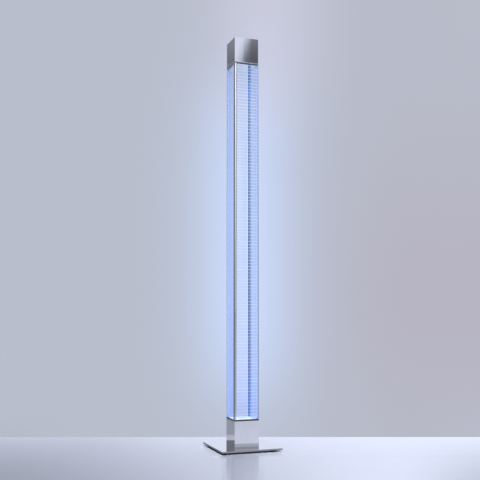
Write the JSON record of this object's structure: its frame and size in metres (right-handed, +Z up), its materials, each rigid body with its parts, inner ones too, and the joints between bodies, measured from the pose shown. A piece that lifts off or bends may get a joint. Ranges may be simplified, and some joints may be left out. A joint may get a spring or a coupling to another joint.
{
  "type": "led column floor lamp",
  "caption": "Slim square floor lamp: clear lit column of panes between corner posts, two of metal and two clear, polished cap and housing, set near one edge of a thin square base plate.",
  "frame": {"origin": "on the floor, under the middle of the square base plate", "axes": "+Z up along the column, +X towards the lamp's right seen from the front, -Y towards the viewer in front of the lamp"},
  "size_m": [0.2, 0.2, 1.317],
  "materials": {
    "polished_steel": "mirror polished",
    "post_metal": "polished",
    "black_frame": "black anodised",
    "clear_pane": "clear with fine engraved lines, glowing pale blue",
    "clear_post": "clear, polished, passing on the pale blue light of the panes",
    "white_reflector": "glossy white, lit from the light source",
    "light_window": "opal, glowing blue",
    "mirror_sheet": "mirror",
    "feet_rubber": "matte black",
    "screw_steel": "zinc plated",
    "plain_aluminium": "machined",
    "black_aluminium": "black anodised",
    "circuit_board": "white solder mask on an aluminium core",
    "led_package": "moulded packages with clear domes",
    "driver_case": "moulded",
    "inlet_plastic": "moulded black",
    "switch_metal": "polished",
    "wire_red": "insulated wire",
    "wire_white": "insulated wire"
  },
  "bodies": {
    "lamp": {"base_plate": "polished_steel", "base_feet": "feet_rubber", "foot_screws": "screw_steel", "base_screws": "screw_steel", "mounting_plate": "plain_aluminium", "lower_housing": "polished_steel", "support_pillars": "plain_aluminium", "lower_frame": "black_frame", "frame_screws": "screw_steel", "floor_reflector": "white_reflector", "led_window": "light_window", "led_board": "circuit_board", "leds": "led_package", "heat_sink": "black_aluminium", "led_spacers": "plain_aluminium", "heat_sink_screws": "screw_steel", "led_driver": "driver_case", "driver_screws": "screw_steel", "power_inlet": "inlet_plastic", "inlet_nut": "switch_metal", "switch_body": "switch_metal", "switch_nut": "switch_metal", "button_spring": "screw_steel", "power_leads": "wire_red", "led_leads": "wire_white", "corner_post_front_left": "post_metal", "corner_post_front_right": "clear_post", "corner_post_back_left": "clear_post", "corner_post_back_right": "post_metal", "lower_post_screws": "screw_steel", "upper_post_screws": "screw_steel", "front_pane": "clear_pane", "back_pane": "clear_pane", "left_pane": "clear_pane", "right_pane": "clear_pane", "top_reflector": "mirror_sheet", "upper_frame": "black_frame", "cap_bracket": "plain_aluminium", "bracket_screws": "screw_steel", "top_cap": "polished_steel", "cap_screws": "switch_metal"},
    "button": {"push_button": "switch_metal"}
  },
  "joints": [
    {"name": "button_press", "type": "slide", "parent": "lamp", "child": "button", "axis": [0, -1, 0], "range_m": [0, 0.002], "stiffness_N_per_m": 600, "springref_m": -0.003, "deforming": ["button_spring"]}
  ]
}
